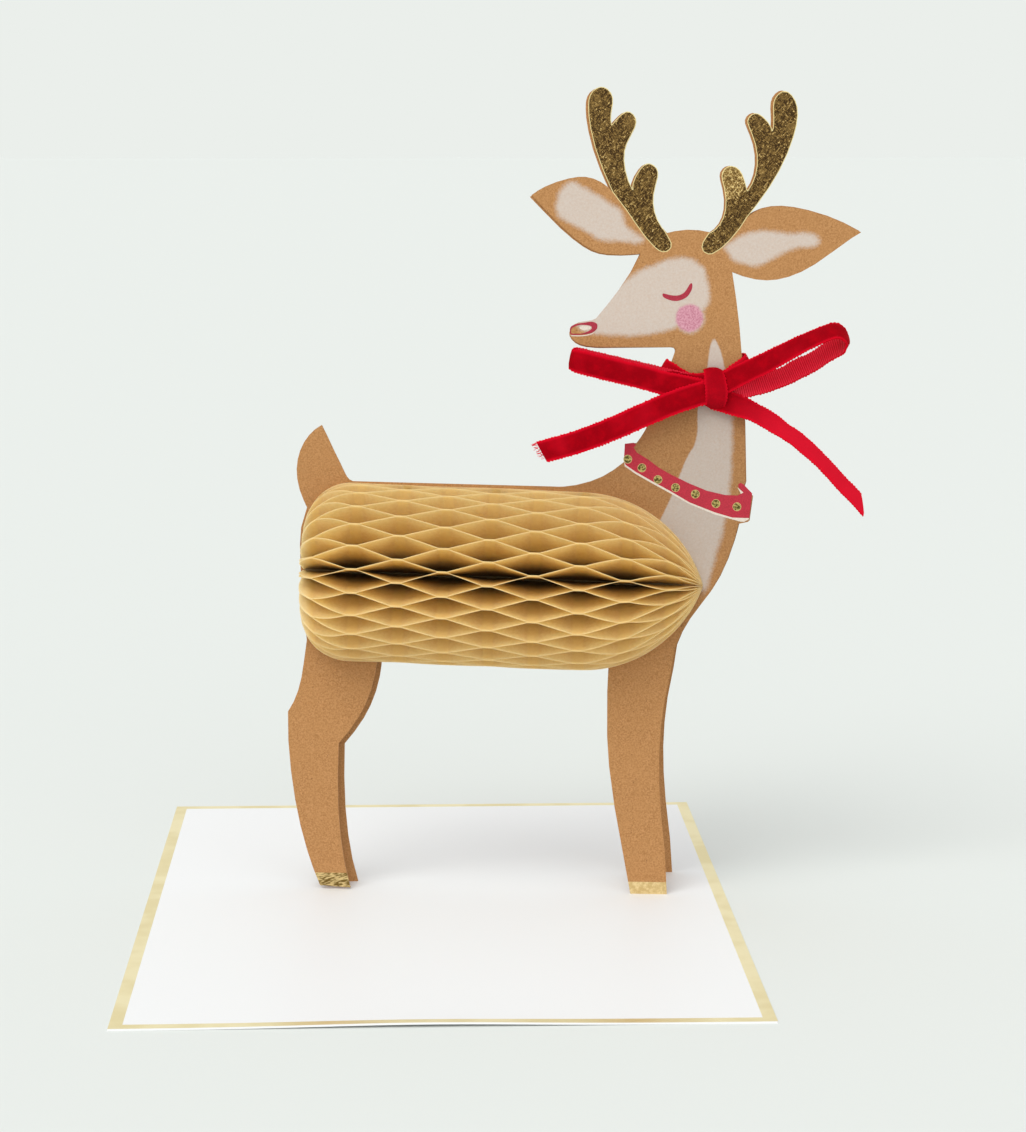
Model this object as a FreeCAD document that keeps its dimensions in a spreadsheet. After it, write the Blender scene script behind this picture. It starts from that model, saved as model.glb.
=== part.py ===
# Stand-up greeting card: a die-cut kraft-board reindeer with a tissue honeycomb
# body and a velvet bow, standing on its flat message card.
# Millimetres. +Z is up, +X is the reindeer's right-hand side as the picture
# faces you, and the origin is the centre of the message card's underside.
import FreeCAD, Part
import math
import os

from FreeCAD import Vector, Placement, Rotation

os.makedirs("parts", exist_ok=True)
doc = FreeCAD.newDocument("reindeer_card")

# Driving sizes, in millimetres and degrees.
SIZES = [
    ("card_width", 155.5),
    ("card_length", 223.0),
    ("card_thickness", 0.5),
    ("figure_height", 216.0),
    ("figure_right", 14.75),
    ("figure_forward", -7.9),
    ("figure_yaw", 5.7),
    ("figure_lean", 3.2),
    ("board_thickness", 0.7),
    ("rear_turn", 0.55),
    ("back_line", 110.0),
    ("bend_reach", 8.0),
    ("hind_splay", 7.2),
    ("front_splay", 22.5),
    ("honeycomb_length", 107.3),
    ("honeycomb_radius", 24.0),
    ("rump_corner", 12.3),
    ("nose_length", 33.0),
    ("honeycomb_left", -51.6),
    ("honeycomb_axis", 86.5),
    ("honeycomb_dip", 1.0),
    ("tissue_thickness", 0.28),
    ("glue_pitch", 11.95),
    ("glue_width", 2.7),
    ("first_glue_line", 3.2),
    ("sheet_angle", 7.5),
    ("core_radius", 3.2),
    ("ribbon_width", 6.0),
    ("ribbon_thickness", 0.6),
    ("ribbon_clearance", 0.3),
    ("knot_width", 5.8),
    ("knot_height", 10.2),
    ("knot_depth", 2.8),
]

sheet = doc.addObject("Spreadsheet::Sheet", "sizes")
for row, (alias, value) in enumerate(SIZES, start=1):
    sheet.set("A%d" % row, alias)
    sheet.set("B%d" % row, str(value))
    sheet.setAlias("B%d" % row, alias)
doc.recompute()


def size(alias):
    return float(sheet.get(alias))


# The figure stands on its soles: local X runs along the board, local Y points
# away from the picture side and local Z runs up the board. The local origin is
# midway between the front board's two hooves, on its picture side.
DRAWN_HEIGHT = 216.0
scale = size("figure_height") / DRAWN_HEIGHT
board = size("board_thickness")
figure_place = Placement(
    Vector(size("figure_right"), -size("figure_forward"), size("card_thickness")),
    Rotation(-size("figure_yaw"), 0, -size("figure_lean")),
)

# Die line of the reindeer, anticlockwise from the root of the tail, as drawn at
# its full height: each stretch goes on smoothly from the last point of the one
# before, and the corners lie between them.
SOLE_ALLOWANCE = -2.0
FACET_SAG = 0.06
DIE_LINE = [
    # tail, inner edge and outer edge
    [(-38.6, 111.7), (-40.2, 114.3), (-42.9, 119.8), (-46.0, 126.3)],
    [(-49.2, 123.8), (-51.6, 120.0), (-52.8, 114.2), (-52.0, 108.8), (-50.0, 104.2)],
    # rump and thigh
    [(-51.4, 100.0), (-51.9, 90.0), (-51.2, 78.0), (-50.2, 68.2)],
    [(-51.2, 60.9), (-52.6, 54.4), (-54.3, 50.4), (-55.4, 48.6)],
    # hind leg, its hoof and the knee
    [(-55.4, 42.5), (-54.7, 33.0), (-53.2, 22.7), (-50.8, 12.4), (-46.8, 1.0)],
    [(-38.5, 0.5)],
    [(-40.3, 8.5), (-41.4, 17.0), (-41.9, 27.3), (-41.6, 40.1)],
    [(-38.2, 44.3), (-35.0, 49.4), (-32.4, 56.0), (-31.0, 64.2)],
    [(31.4, 64.0)],
    # front leg
    [(31.1, 58.0), (31.0, 48.7), (31.2, 40.0), (32.5, 28.3), (34.4, 16.6), (38.0, SOLE_ALLOWANCE)],
    [(47.6, SOLE_ALLOWANCE)],
    [(47.3, 6.5), (46.1, 18.3), (45.2, 30.0), (45.1, 38.0), (46.0, 49.7), (48.0, 60.5)],
    # chest, up to the collar's right end
    [(50.5, 70.6), (55.1, 77.8), (58.7, 82.6), (61.8, 88.4), (64.3, 95.2), (65.7, 100.6)],
    [(68.4, 101.2)],
    [(69.3, 107.9)],
    [(66.9, 109.9)],
    [(67.5, 111.9)],
    # nape
    [(67.5, 122.7), (67.1, 128.9), (66.3, 144.7), (65.6, 152.0), (63.4, 167.5)],
    # right ear
    [(66.8, 166.2), (72.9, 165.3), (80.1, 166.9), (84.9, 169.4), (90.9, 173.7), (97.2, 178.0)],
    [(90.2, 181.5), (82.9, 183.8), (75.6, 184.8), (71.4, 184.2), (67.2, 181.9)],
    # right antler with its three tines
    [(71.4, 187.4), (75.5, 194.0), (79.0, 202.4), (80.2, 208.6), (79.2, 213.0), (76.6, 214.9),
     (74.3, 213.3), (73.7, 209.6), (73.5, 204.6)],
    [(71.2, 208.1), (68.8, 209.1), (67.0, 207.4), (67.4, 205.4), (69.1, 200.8), (69.5, 194.6),
     (67.2, 188.9)],
    [(66.2, 192.2), (64.5, 194.8), (62.3, 195.3), (60.5, 193.7), (60.8, 190.4), (61.5, 185.2),
     (60.7, 181.4), (57.6, 177.9)],
    # crown of the head
    [(52.1, 178.6), (46.1, 177.7)],
    # left antler with its three tines
    [(43.2, 182.0), (42.4, 186.7), (43.3, 191.3), (43.4, 194.4), (41.0, 196.0), (38.9, 194.6),
     (36.9, 189.1)],
    [(34.9, 194.6), (35.1, 200.6), (37.1, 204.6), (37.6, 207.8), (35.4, 209.6), (33.8, 208.8),
     (31.3, 206.1)],
    [(31.3, 210.2), (31.3, 213.9), (28.9, 216.0), (25.9, 214.6), (25.0, 211.0), (25.4, 206.4),
     (27.9, 197.0), (31.6, 188.4)],
    # left ear
    [(27.7, 191.5), (24.7, 192.4), (19.2, 191.8), (13.8, 189.9), (10.1, 187.6)],
    [(16.2, 181.2), (22.9, 175.3), (27.2, 172.8), (31.5, 172.0), (39.1, 172.2)],
    # brow, nose and jaw
    [(37.0, 168.0), (33.1, 162.2), (27.4, 155.1)],
    [(25.2, 154.4), (22.4, 153.9), (20.4, 151.6), (21.6, 149.2), (24.4, 147.9), (28.6, 147.5)],
    [(47.2, 147.6)],
    [(48.3, 147.3), (48.4, 146.2)],
    # throat, down to the collar's left end
    [(47.3, 143.5), (44.6, 135.1), (41.3, 126.6), (38.4, 122.0)],
    [(35.4, 121.8)],
    [(35.1, 116.9)],
    # breast and back
    [(31.8, 114.4), (28.6, 112.6), (25.0, 111.3), (21.0, 110.4), (16.0, 110.2)],
    [(-36.4, 111.2)],
]


def die_point(point):
    along, up = point
    return Vector(along * scale, 0, up * scale)


def die_wire():
    """The die line as short facets that keep close to its smooth stretches."""
    corners = []
    start = DIE_LINE[-1][-1]
    for stretch in DIE_LINE:
        points = [die_point(p) for p in [start] + stretch]
        if len(points) > 2:
            curve = Part.BSplineCurve()
            curve.interpolate(points)
            points = curve.discretize(Deflection=FACET_SAG)
        corners += points[:-1]
        start = stretch[-1]
    return Part.makePolygon(corners + [corners[0]])


def feature(name, shape, place=figure_place):
    made = doc.addObject("Part::Feature", name)
    made.Shape = shape
    made.Placement = place
    return made


def extrusion(name, base, direction, length):
    made = doc.addObject("Part::Extrusion", name)
    made.Base = base
    made.DirMode = "Custom"
    made.Dir = direction
    made.Solid = True
    made.FaceMakerClass = "Part::FaceMakerBullseye"
    if isinstance(length, str):
        made.setExpression("LengthFwd", length)
    else:
        made.LengthFwd = length
    return made


def boolean(kind, name, base, tool, label=None):
    made = doc.addObject(kind, name)
    made.Base = base
    made.Tool = tool
    if label:
        made.Label = label
    return made


# Message card: one flat sheet, its underside at height 0.
message_card = doc.addObject("Part::Box", "message_card")
message_card.Label = "message_card"
message_card.setExpression("Length", "sizes.card_width")
message_card.setExpression("Width", "sizes.card_length")
message_card.setExpression("Height", "sizes.card_thickness")
message_card.setExpression(".Placement.Base.x", "-sizes.card_width / 2")
message_card.setExpression(".Placement.Base.y", "-sizes.card_length / 2")

# Everything above the message card, which trims the soles flush with it.
REACH = 2 * size("figure_height")
above_card = doc.addObject("Part::Box", "above_card")
above_card.Length = 2 * REACH
above_card.Width = 2 * REACH
above_card.Height = 2 * REACH
above_card.Placement.Base = Vector(-REACH, -REACH, 0)
above_card.setExpression(".Placement.Base.z", "sizes.card_thickness")

# Front board: the die line cut through one flat, leaning board.
away = figure_place.Rotation.multVec(Vector(0, 1, 0))
front_die = feature("front_die_line", die_wire())
front_blank = extrusion("front_blank", front_die, away, "sizes.board_thickness")
front_panel = boolean("Part::Common", "front_panel", front_blank, above_card, "front_panel")

# Rear board: the same die line, turned a little in its own plane about the
# ribbon, and bent backwards below the back line. It lies flat on the front
# board above that line, and its front leg is splayed further than its hind leg.
HIND_HOOF = -42.6 * scale
FRONT_HOOF = 42.7 * scale
PIVOT = Vector(59.0 * scale, 0, 138.0 * scale)
turn = Placement(Vector(0, 0, 0), Rotation(Vector(0, 1, 0), -size("rear_turn")), PIVOT)
back_face = Placement(Vector(0, board, 0), Rotation())
rear_die = feature("rear_die_line", die_wire(), figure_place.multiply(back_face).multiply(turn))
rear_prism = extrusion("rear_prism", rear_die, away, REACH / 4)


def splay_at(along):
    share = (along - HIND_HOOF) / (FRONT_HOOF - HIND_HOOF)
    return size("hind_splay") + share * (size("front_splay") - size("hind_splay"))


def bent_profile(along):
    """Section of the rear board across its bend, as a closed wire."""
    bend = size("back_line")
    reach = size("bend_reach")
    top = 1.1 * size("figure_height")
    bottom = -0.05 * size("figure_height")
    angle = math.atan2(splay_at(along), bend)
    radius = reach / math.tan(angle / 2)

    def station(offset, turned, beyond=0.0):
        # A point of the face that lies offset behind the board's front face.
        inner = radius - offset
        back = radius - inner * math.cos(turned)
        up = bend + reach - inner * math.sin(turned)
        back += beyond * math.sin(turned)
        up -= beyond * math.cos(turned)
        return Vector(along, board + back, up)

    below = (bend + reach - radius * math.sin(angle) - bottom) / math.cos(angle)
    faces = []
    for offset in (0.0, board):
        head = Vector(along, board + offset, top)
        arc = [station(offset, angle * k / 2) for k in range(3)]
        foot = station(offset, angle, below)
        faces.append((head, arc, foot))
    (head_a, arc_a, foot_a), (head_b, arc_b, foot_b) = faces
    return Part.Wire([
        Part.LineSegment(head_a, arc_a[0]).toShape(),
        Part.Arc(*arc_a).toShape(),
        Part.LineSegment(arc_a[2], foot_a).toShape(),
        Part.LineSegment(foot_a, foot_b).toShape(),
        Part.LineSegment(foot_b, arc_b[2]).toShape(),
        Part.Arc(arc_b[2], arc_b[1], arc_b[0]).toShape(),
        Part.LineSegment(arc_b[0], head_b).toShape(),
        Part.LineSegment(head_b, head_a).toShape(),
    ])


left_profile = feature("rear_bend_left", bent_profile(-62.0 * scale))
right_profile = feature("rear_bend_right", bent_profile(104.0 * scale))
bent_board = doc.addObject("Part::Loft", "bent_board")
bent_board.Sections = [left_profile, right_profile]
bent_board.Solid = True
bent_board.Ruled = True
rear_cut = boolean("Part::Common", "rear_cut", rear_prism, bent_board)
rear_panel = boolean("Part::Common", "rear_panel", rear_cut, above_card, "rear_panel")


# Honeycomb body: a half pill on the front board, whose cells lie between
# neighbouring tissue sheets. Its own X runs along the pad, Y is away from the
# picture side and Z is up, from the middle of its blunt end.
pad_place = figure_place.multiply(Placement(
    Vector(size("honeycomb_left") * scale, 0, size("honeycomb_axis") * scale),
    Rotation(Vector(0, 1, 0), size("honeycomb_dip")),
))


def polygon(points):
    return Part.Face(Part.makePolygon(points + [points[0]]))


RUMP_FACETS = 3
NOSE_FACETS = 5
LAST_STEP = round(90 / size("sheet_angle"))


def pad_stations():
    """Distance along and radius down the pad: blunt end, straight side, pointed end."""
    length = size("honeycomb_length")
    radius = size("honeycomb_radius")
    corner = size("rump_corner")
    nose = size("nose_length")
    stations = []
    for k in range(RUMP_FACETS + 1):
        turned = math.radians(90 * k / RUMP_FACETS)
        stations.append((corner * (1 - math.cos(turned)), radius - corner * (1 - math.sin(turned))))
    ogive = (nose ** 2 + radius ** 2) / (2 * radius)
    for k in range(NOSE_FACETS):
        turned = math.asin(nose / ogive) * k / NOSE_FACETS
        stations.append((length - nose + ogive * math.sin(turned),
                         radius - ogive * (1 - math.cos(turned))))
    return stations


def half_pill():
    """The pad without its cells, with one facet to each sheet."""
    turns = [-90.0]
    turns += [(step + 0.5) * size("sheet_angle") for step in range(-LAST_STEP, LAST_STEP)]
    turns.append(90.0)

    def on_rim(station, turned):
        along, radius = station
        angle = math.radians(turned)
        return Vector(along, -radius * math.cos(angle), radius * math.sin(angle))

    stations = pad_stations()
    tip = Vector(size("honeycomb_length"), 0, 0)
    rings = [[on_rim(station, turned) for turned in turns] for station in stations]
    faces = [polygon(rings[0])]
    for near, far in zip(rings, rings[1:]):
        for k in range(len(turns) - 1):
            faces.append(polygon([near[k], near[k + 1], far[k + 1], far[k]]))
    for k in range(len(turns) - 1):
        faces.append(polygon([rings[-1][k], rings[-1][k + 1], tip]))
    lower = [ring[0] for ring in rings]
    upper = [ring[-1] for ring in rings]
    faces.append(polygon(lower + [tip] + upper[::-1]))
    return Part.makeSolid(Part.makeShell(faces))


pad_blank = feature("pad_blank", half_pill(), pad_place)


def cell_ring(middle, step, reach):
    """Outline of one cell at one distance from the axis, point by point."""
    half_wall = size("tissue_thickness") / 2
    glue = size("glue_width") / 2
    run = size("glue_pitch") - 2 * glue
    rise = reach * math.tan(math.radians(size("sheet_angle")))
    tip = half_wall * run / rise
    left = middle - size("glue_pitch") + glue + tip
    right = middle + size("glue_pitch") - glue - tip
    height = rise - half_wall
    ring = [
        (left, 0), (middle - glue, -height), (middle + glue, -height),
        (right, 0), (middle + glue, height), (middle - glue, height),
    ]
    last = round(90 / size("sheet_angle"))
    if abs(step) == last:
        # The outermost sheet lies flat on the board, so half of this cell is left.
        floor = 2 * half_wall
        shift = (floor - half_wall) * run / rise
        side = -1 if step > 0 else 1
        ring = [(left + shift, side * floor), (middle - glue, side * height),
                (middle + glue, side * height), (right - shift, side * floor)]
    angle = math.radians(step * size("sheet_angle"))
    outward = Vector(0, -math.cos(angle), math.sin(angle))
    across = Vector(0, math.sin(angle), math.cos(angle))
    return [Vector(x, 0, 0) + outward * reach + across * y for x, y in ring]


def cell(middle, step):
    """One cell, from the glued core out past the pad's surface."""
    near = cell_ring(middle, step, size("core_radius") * (1.8 if abs(step) == LAST_STEP else 1))
    far = cell_ring(middle, step, size("honeycomb_radius") + 1.5)
    faces = [polygon(near), polygon(far)]
    for k in range(len(near)):
        n = (k + 1) % len(near)
        if abs((near[k] - near[n]).cross(far[k] - near[k]).dot(far[n] - near[n])) < 1e-6:
            faces.append(polygon([near[k], near[n], far[n], far[k]]))
        else:
            faces.append(polygon([near[k], near[n], far[n]]))
            faces.append(polygon([near[k], far[n], far[k]]))
    return Part.makeSolid(Part.makeShell(faces))


cells = []
lines = math.ceil(size("honeycomb_length") / size("glue_pitch")) + 1
for step in range(-LAST_STEP, LAST_STEP + 1):
    for line in range(-1, lines + 1):
        if (line + step) % 2:
            cells.append(cell(size("first_glue_line") + line * size("glue_pitch"), step))
pad_cells = feature("pad_cells", Part.makeCompound(cells), pad_place)
honeycomb_body = boolean("Part::Cut", "honeycomb_body", pad_blank, pad_cells, "honeycomb_body")


# Ribbon: a flat band round both necks, tied into a bow at the front. Each
# stretch is a list of stations: the middle of the band, and the way its width
# points, all in the figure's own frame.
def band(stations):
    """A flat strap through the stations, one facet to each stretch between them."""
    middles = [Vector(*middle) * scale for middle, across in stations]
    steps = [(b - a).normalize() for a, b in zip(middles, middles[1:])]
    sections = []
    for k, (middle, across) in enumerate(stations):
        ahead = steps[max(k - 1, 0)] + steps[min(k, len(steps) - 1)]
        normal = ahead.cross(Vector(*across)).normalize()
        across = normal.cross(ahead).normalize()
        a = across * (size("ribbon_width") / 2)
        b = normal * (size("ribbon_thickness") / 2)
        sections.append([middles[k] + a + b, middles[k] + a - b,
                         middles[k] - a - b, middles[k] - a + b])
    faces = [polygon(sections[0]), polygon(sections[-1])]
    for near, far in zip(sections, sections[1:]):
        for k in range(4):
            n = (k + 1) % 4
            # Both broad sides are split along the same diagonal, so that they stay apart.
            last_near, first_far = (n, k) if k >= 2 else (k, n)
            faces.append(polygon([near[k], near[n], far[first_far]]))
            faces.append(polygon([near[last_near], far[n], far[k]]))
    return Part.makeSolid(Part.makeShell(faces))


gap = size("ribbon_clearance") + size("ribbon_thickness") / 2
front_gap = -gap / scale
rear_gap = (2 * board + gap) / scale


def half_turn(middle, radius, rise, across, side):
    """Half a turn of the ribbon, from its front layer to its rear one."""
    along, back, up = middle
    tilt = across[0] / across[2]
    stations = []
    for quarter in range(-2, 3):
        turned = math.radians(45 * quarter)
        out = side * radius * math.cos(turned)
        point = (along + out,
                 back + radius * math.sin(turned),
                 up + rise * (quarter + 2) / 4 - tilt * out)
        stations.append((point, across))
    return stations


NECK_RADIUS = (board + gap) / scale
NECK_BAND = [
    ((59.3, front_gap - 0.1, 136.9), (0.1, 0, 1)),
    ((63.8, front_gap - 0.1, 140.5), (-0.3, 0, 1)),
    *half_turn((66.85, board / scale, 142.6), NECK_RADIUS, 1.4, (-0.1, 0, 1), 1),
    ((63.0, rear_gap, 143.9), (0, 0, 1)),
    ((57.0, rear_gap + 0.1, 143.0), (0, 0, 1)),
    ((51.2, rear_gap, 142.0), (0.1, 0, 1)),
    *half_turn((47.1, board / scale, 142.3), NECK_RADIUS, 0.0, (0.3, 0, 1), -1)[::-1],
    ((52.0, front_gap - 0.4, 139.6), (0.4, 0, 1)),
    ((58.6, front_gap - 1.1, 137.4), (0.3, 0, 1)),
]
LEFT_LOOP = [
    ((59.0, -2.6, 136.2), (0.2, 0, 1)),
    ((50.0, -3.4, 138.6), (0.2, 0, 1)),
    ((38.0, -4.0, 141.2), (0.2, 0, 1)),
    ((28.0, -3.8, 143.1), (0.2, 0, 1)),
    *half_turn((22.3, -2.3, 144.0), 1.2, 0.2, (0.2, 0, 1), -1),
    ((30.0, -0.9, 143.2), (0.2, 0, 1)),
    ((42.0, -1.2, 141.4), (0.2, 0, 1)),
    ((50.0, -1.3, 139.5), (0.2, 0, 1)),
    ((59.0, -1.3, 137.0), (0.2, 0, 1)),
]
RIGHT_LOOP = [
    ((59.6, -2.6, 137.4), (-0.4, 0, 1)),
    ((66.5, -3.4, 141.4), (-0.45, 0.2, 1)),
    ((75.0, -4.2, 145.6), (-0.45, 0.3, 1)),
    ((83.5, -4.1, 149.0), (-0.4, 0.3, 1)),
    *half_turn((90.9, -1.6, 150.8), 2.0, -2.0, (-0.2, 0.2, 1), 1),
    ((84.5, 0.5, 145.0), (-0.45, 0.2, 1)),
    ((76.0, 0.4, 141.2), (-0.4, 0.1, 1)),
    ((68.9, -0.6, 138.4), (-0.3, 0, 1)),
    ((59.6, -1.3, 136.2), (-0.2, 0, 1)),
]
LEFT_TAIL = [
    ((59.0, -2.0, 136.0), (-0.2, 0, 1)),
    ((53.0, -2.6, 134.7), (0.4, 0, 1)),
    ((42.6, -3.3, 130.9), (-0.42, 0, 1)),
    ((34.6, -3.8, 127.3), (-0.42, 0.1, 1)),
    ((25.2, -3.9, 124.0), (-0.34, 0.2, 1)),
    ((10.6, -3.2, 119.6), (-0.3, 0.3, 1)),
]
RIGHT_TAIL = [
    ((59.6, -1.9, 134.8), (0.3, 0, 1)),
    ((67.1, -2.0, 131.4), (0.4, 0, 1)),
    ((74.0, -1.8, 128.1), (0.45, 0.3, 1)),
    ((79.2, -1.6, 124.6), (0.55, 0.9, 0.9)),
    ((83.0, -1.6, 121.4), (0.6, 1.2, 0.7)),
    ((88.2, -2.0, 116.6), (0.7, 1.2, 0.7)),
    ((94.0, -2.6, 109.8), (0.75, 0.8, 0.7)),
    ((97.9, -3.0, 104.6), (0.8, 0.5, 0.6)),
]

knot = doc.addObject("Part::Box", "knot_block")
knot.setExpression("Length", "sizes.knot_width")
knot.setExpression("Width", "sizes.knot_depth")
knot.setExpression("Height", "sizes.knot_height")
KNOT_MIDDLE = Vector(59.3, 0, 136.5) * scale
knot_corner = KNOT_MIDDLE - Vector(
    size("knot_width") / 2, size("knot_depth") + size("ribbon_clearance"), size("knot_height") / 2)
knot.Placement = figure_place.multiply(Placement(knot_corner, Rotation()))
doc.recompute()
round_knot = doc.addObject("Part::Chamfer", "round_knot")
round_knot.Base = knot
KNOT_ROUND = 0.3 * size("knot_depth")
round_knot.Edges = [(n + 1, KNOT_ROUND, KNOT_ROUND) for n in range(len(knot.Shape.Edges))]

bands = [feature("ribbon_band_%d" % n, band(stations)) for n, stations in enumerate(
    (NECK_BAND, LEFT_LOOP, RIGHT_LOOP, LEFT_TAIL, RIGHT_TAIL), start=1)]
ribbon_bow = doc.addObject("Part::MultiFuse", "ribbon_bow")
ribbon_bow.Label = "ribbon_bow"
ribbon_bow.Shapes = [round_knot] + bands
doc.recompute()

for item in doc.Objects:
    if "Invalid" in item.State or "Error" in item.State:
        raise RuntimeError("%s did not build: %s" % (item.Name, item.State))

for piece in (message_card, front_panel, rear_panel, honeycomb_body, ribbon_bow):
    shape = piece.Shape
    if shape.isNull() or not shape.isValid():
        raise RuntimeError("%s has no valid shape" % piece.Label)
    shape.exportStep("parts/%s.step" % piece.Label)
    print(piece.Label, "solids", len(shape.Solids), "volume %.1f" % shape.Volume,
          "box", [round(v, 2) for v in (
              shape.BoundBox.XMin, shape.BoundBox.XMax, shape.BoundBox.YMin,
              shape.BoundBox.YMax, shape.BoundBox.ZMin, shape.BoundBox.ZMax)],
          "triangles", len(shape.tessellate(0.1)[1]))
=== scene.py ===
import math
import random

import bmesh
import bpy
import numpy as np
from mathutils import Euler, Matrix, Vector


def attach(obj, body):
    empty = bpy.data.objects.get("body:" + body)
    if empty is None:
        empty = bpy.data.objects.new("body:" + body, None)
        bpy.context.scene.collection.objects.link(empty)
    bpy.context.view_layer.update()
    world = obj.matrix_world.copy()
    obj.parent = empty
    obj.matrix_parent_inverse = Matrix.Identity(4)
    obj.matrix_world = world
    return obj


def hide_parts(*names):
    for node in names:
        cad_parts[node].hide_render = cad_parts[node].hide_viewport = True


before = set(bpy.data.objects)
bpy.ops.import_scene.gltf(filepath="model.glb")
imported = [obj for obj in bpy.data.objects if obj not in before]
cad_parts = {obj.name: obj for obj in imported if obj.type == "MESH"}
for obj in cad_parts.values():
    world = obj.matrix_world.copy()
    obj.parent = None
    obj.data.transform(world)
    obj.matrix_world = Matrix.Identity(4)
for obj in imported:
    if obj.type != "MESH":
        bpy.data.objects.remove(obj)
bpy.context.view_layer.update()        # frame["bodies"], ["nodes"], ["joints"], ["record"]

bpy.ops.object.select_all(action="DESELECT")


# Message card: the flat card that the figure stands on, smooth white stock
# with a line of gold foil stamped along its cut edge. Its near edge has
# curled up a little in the middle.
MM = 0.001
CARD_SIZE = (155.5, 223.0, 0.5)
BORDER = 3.2
CURL_HEIGHT, CURL_MIDDLE, CURL_WIDE, CURL_LONG = 0.7, -5.0, 34.0, 9.0
CARD_GRID = 2.0


def rgb(text):
    """Linear colour from an sRGB hex text."""
    parts = [int(text[k:k + 2], 16) / 255 for k in (1, 3, 5)]
    return tuple(p / 12.92 if p < 0.04045 else ((p + 0.055) / 1.055) ** 2.4 for p in parts) + (1.0,)


def add(material, kind, inputs=(), out=0, **settings):
    """One node with its settings and links, and the output of it that is used. Its inputs stand
    in the sockets' order or under their names, each a value or another node's output."""
    new = material.node_tree.nodes.new("ShaderNode" + kind)
    for name, value in settings.items():
        setattr(new, name, value)
    for name, value in inputs.items() if isinstance(inputs, dict) else enumerate(inputs):
        if isinstance(value, bpy.types.NodeSocket):
            material.node_tree.links.new(value, new.inputs[name])
        else:
            new.inputs[name].default_value = value
    return new.outputs[out]


def finish(name):
    """A new material with its shader."""
    material = bpy.data.materials.new(name)
    material.use_nodes = True
    return material, material.node_tree.nodes["Principled BSDF"]


def give(material, shader, **inputs):
    """Values or outputs for the shader's own sockets."""
    for name, value in inputs.items():
        socket = shader.inputs[name.replace("_", " ")]
        if isinstance(value, bpy.types.NodeSocket):
            material.node_tree.links.new(value, socket)
        else:
            socket.default_value = value


def mottled(material, place, size, start, end, detail=2.0):
    """Soft patches of that many millimetres: 0 where their noise is under start, 1 over end."""
    noise = add(material, "TexNoise", {"Vector": place, "Scale": 1 / (size * MM),
                                       "Detail": detail, "Roughness": 0.6})
    return add(material, "MapRange", [noise, start, end], interpolation_type="SMOOTHSTEP")


def tinted(material, tone, colour, share, strength=1.0):
    """The tone with a second colour laid over it, as strong as share and strength make it."""
    cover = add(material, "Math", [share, strength], operation="MULTIPLY")
    return add(material, "Mix", {0: cover, 6: tone, 7: colour}, 2, data_type="RGBA")


def relief(material, place, size, depth, detail=2.0):
    """A slightly uneven face: humps of that many millimetres across, and depth high."""
    humps = add(material, "TexNoise", {"Vector": place, "Scale": 1 / (size * MM),
                                       "Detail": detail, "Roughness": 0.6})
    return add(material, "Bump", {"Height": humps, "Distance": depth * MM, "Strength": 1.0})


# Smooth white stock with a very fine tooth. The foil of the border shines
# softly, and its tone drifts a little along the edge.
card_stock, shader = finish("white_card_gold_border")
place = add(card_stock, "TexCoord", out="Object")
past_border = []
for axis in (0, 1):
    from_middle = add(card_stock, "SeparateXYZ", [place], axis)
    from_middle = add(card_stock, "Math", [from_middle], operation="ABSOLUTE")
    past_border.append(add(card_stock, "Math", [from_middle, (CARD_SIZE[axis] / 2 - BORDER) * MM],
                           operation="SUBTRACT"))
nearer_edge = add(card_stock, "Math", past_border, operation="MAXIMUM")
in_border = add(card_stock, "Math", [nearer_edge, 0.0], operation="GREATER_THAN")
upwards = add(card_stock, "SeparateXYZ", [add(card_stock, "TexCoord", out="Normal")], 2)
on_top = add(card_stock, "Math", [upwards, 0.6], operation="GREATER_THAN")
gilded = add(card_stock, "Math", [in_border, on_top], operation="MULTIPLY")
drift = mottled(card_stock, place, 14.0, 0.35, 0.65)
foil_tone = tinted(card_stock, rgb("#EBD9A2"), rgb("#F6E7B8"), drift)
tooth = add(card_stock, "TexNoise", {"Vector": place, "Scale": 1 / (0.25 * MM), "Roughness": 0.6})
paper_tone = tinted(card_stock, rgb("#EDEDED"), rgb("#F1F1F1"), tooth)
give(card_stock, shader, Base_Color=tinted(card_stock, paper_tone, foil_tone, gilded),
     Metallic=add(card_stock, "Math", [gilded, 0.6], operation="MULTIPLY"),
     Roughness=add(card_stock, "MapRange", {0: gilded, 3: 0.55, 4: 0.36}),
     Normal=relief(card_stock, place, 0.2, 0.004))

bpy.ops.mesh.primitive_grid_add(x_subdivisions=round(CARD_SIZE[0] / CARD_GRID),
                                y_subdivisions=round(CARD_SIZE[1] / CARD_GRID), size=1)
card = bpy.context.object
card.name = "card_sheet"
bpy.ops.object.mode_set(mode="EDIT")
bpy.ops.mesh.select_all(action="SELECT")
bpy.ops.transform.resize(value=(CARD_SIZE[0] * MM, CARD_SIZE[1] * MM, 1))
bpy.ops.object.mode_set(mode="OBJECT")
for vertex in card.data.vertices:
    aside = (vertex.co.x / MM - CURL_MIDDLE) / CURL_WIDE
    from_edge = (vertex.co.y / MM + CARD_SIZE[1] / 2) / CURL_LONG
    vertex.co.z = CURL_HEIGHT * MM * math.exp(-aside ** 2) * math.exp(-from_edge)
thicken = card.modifiers.new("stock", "SOLIDIFY")
thicken.thickness = CARD_SIZE[2] * MM
thicken.offset = 1.0
bpy.ops.object.modifier_apply(modifier=thicken.name)
bpy.ops.object.shade_smooth_by_angle(angle=math.radians(40))
card.data.materials.append(card_stock)
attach(card, "root")
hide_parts("message_card")


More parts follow.
